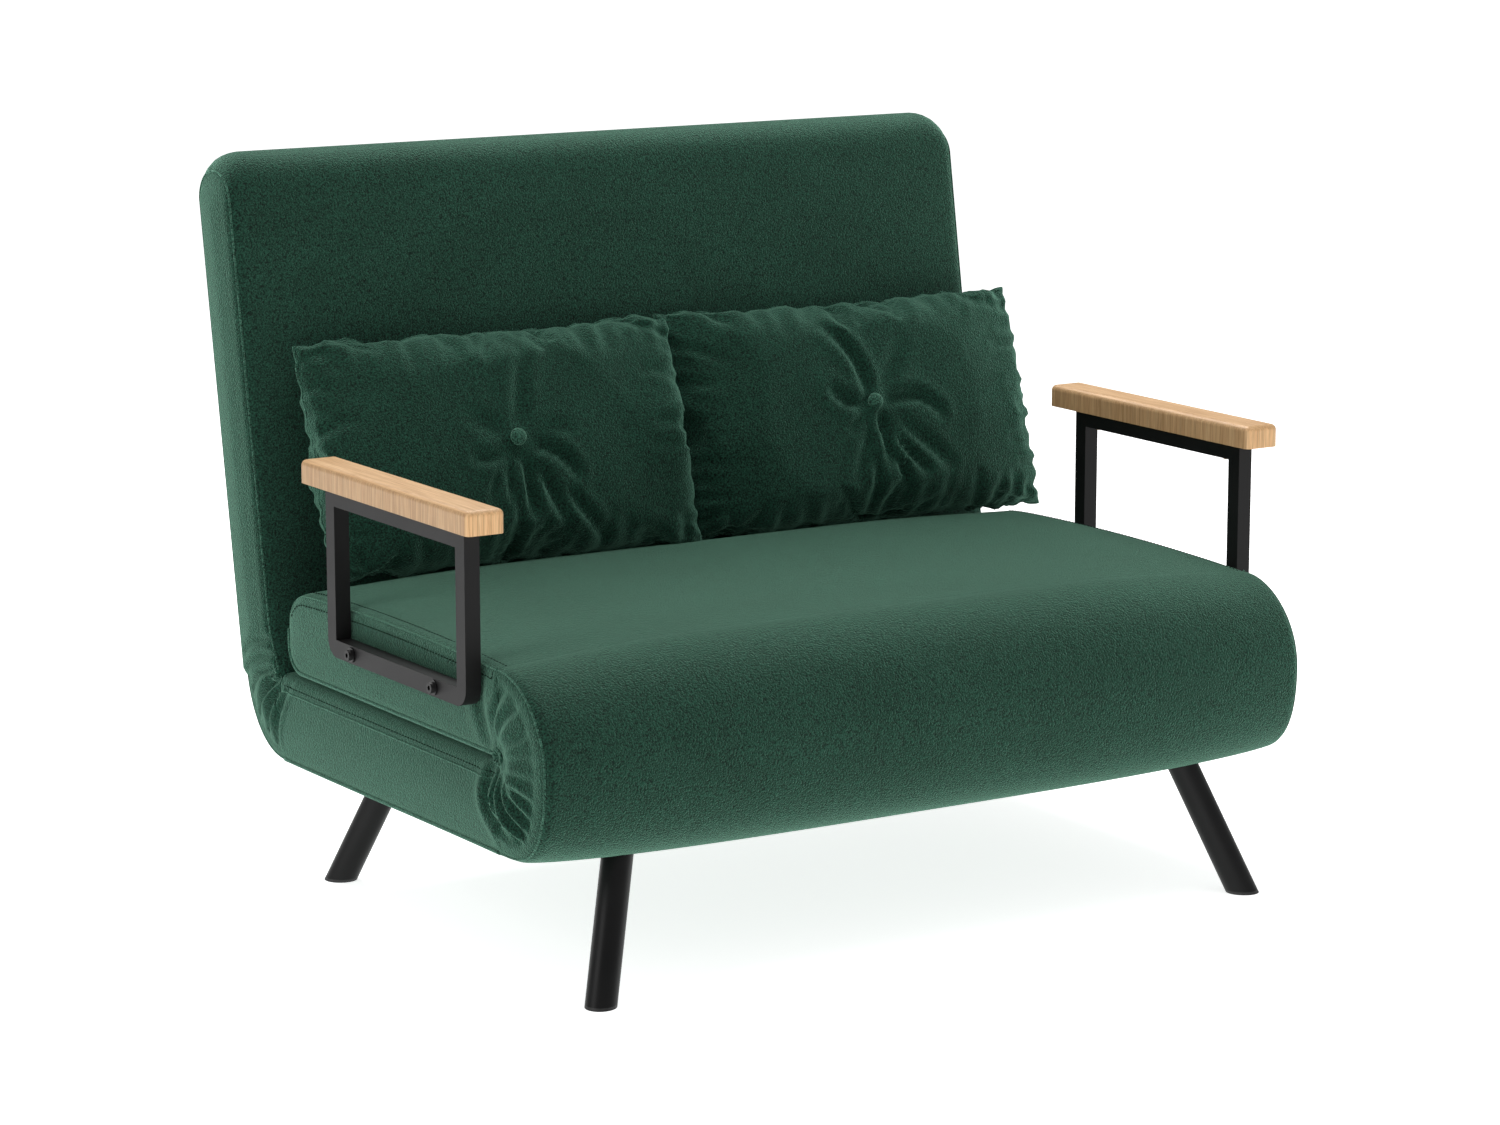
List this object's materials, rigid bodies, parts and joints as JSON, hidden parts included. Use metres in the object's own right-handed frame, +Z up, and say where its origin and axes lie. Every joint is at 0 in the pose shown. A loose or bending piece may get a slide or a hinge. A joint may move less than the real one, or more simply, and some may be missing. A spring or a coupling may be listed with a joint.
{
  "type": "futon sofa bed",
  "caption": "Small two-seat convertible sofa that unfolds into a single bed, with steel loop arms, wooden armrests, splayed legs and loose pillows.",
  "frame": {"origin": "on the floor, under the middle of the sofa's outline seen from above", "axes": "+X to the right seen from the front, along the sofa's width; +Y from the front towards the back; +Z up"},
  "size_m": [1.286, 0.9769, 1.0134],
  "materials": {
    "velvet": "matte",
    "pillow_velvet": "matte",
    "foam": "matte",
    "inner_steel": "satin",
    "zinc_steel": "satin",
    "webbing": "matte",
    "black_steel": "satin",
    "oak": "satin",
    "black_plastic": "matte"
  },
  "bodies": {
    "base": {"base_cover": "velvet", "base_foam_upper": "foam", "base_foam_lower": "foam", "base_frame": "inner_steel", "base_webbing": "webbing", "leg_brackets": "inner_steel", "leg_top_plugs": "inner_steel", "leg_bolts": "zinc_steel", "foot_glides": "black_plastic", "leg_front_left": "black_steel", "leg_front_right": "black_steel", "leg_rear_left": "black_steel", "leg_rear_right": "black_steel", "front_hinge_base_plates": "inner_steel", "front_hinge_pins": "zinc_steel", "rear_hinge_base_plates": "inner_steel", "rear_hinge_pins": "zinc_steel", "rear_hinge_pawls": "inner_steel", "rear_hinge_pawl_pins": "zinc_steel", "front_wrap_lower": "velvet", "rear_gusset_lower": "velvet"},
    "seat": {"seat_cover": "velvet", "seat_foam_upper": "foam", "seat_foam_lower": "foam", "seat_frame": "inner_steel", "seat_webbing": "webbing", "front_hinge_seat_plates": "inner_steel", "front_wrap_upper": "velvet", "arm_frame_left": "black_steel", "arm_frame_right": "black_steel", "arm_pad_left": "oak", "arm_pad_right": "oak", "arm_bolts": "black_steel", "arm_spacers": "black_steel", "arm_weld_nuts": "zinc_steel", "arm_pad_screws": "zinc_steel"},
    "back": {"back_cover": "velvet", "back_foam_front": "foam", "back_foam_rear": "foam", "back_frame": "inner_steel", "back_webbing": "webbing", "rear_hinge_back_plates": "inner_steel", "rear_gusset_upper": "velvet"},
    "pillow_left": {"pillow_left": "pillow_velvet", "pillow_left_button": "pillow_velvet"},
    "pillow_right": {"pillow_right": "pillow_velvet", "pillow_right_button": "pillow_velvet"}
  },
  "joints": [
    {"name": "back_recline", "type": "hinge", "parent": "base", "child": "back", "pos_m": [0, 0.2705, 0.305], "axis": [-1, 0, 0], "range_deg": [0, 80.5], "deforming": ["rear_gusset_lower", "rear_gusset_upper"]},
    {"name": "seat_unfold", "type": "hinge", "parent": "base", "child": "seat", "pos_m": [0, -0.3705, 0.316], "axis": [1, 0, 0], "range_deg": [0, 180], "deforming": ["front_wrap_lower", "front_wrap_upper", "pillow_left", "pillow_right", "pillow_left_button", "pillow_right_button"]},
    {"name": "pillow_left_lift", "type": "slide", "parent": "back", "child": "pillow_left", "axis": [0, 0.165, 0.9863], "range_m": [0, 0.33]},
    {"name": "pillow_right_lift", "type": "slide", "parent": "back", "child": "pillow_right", "axis": [0, 0.165, 0.9863], "range_m": [0, 0.33]}
  ]
}
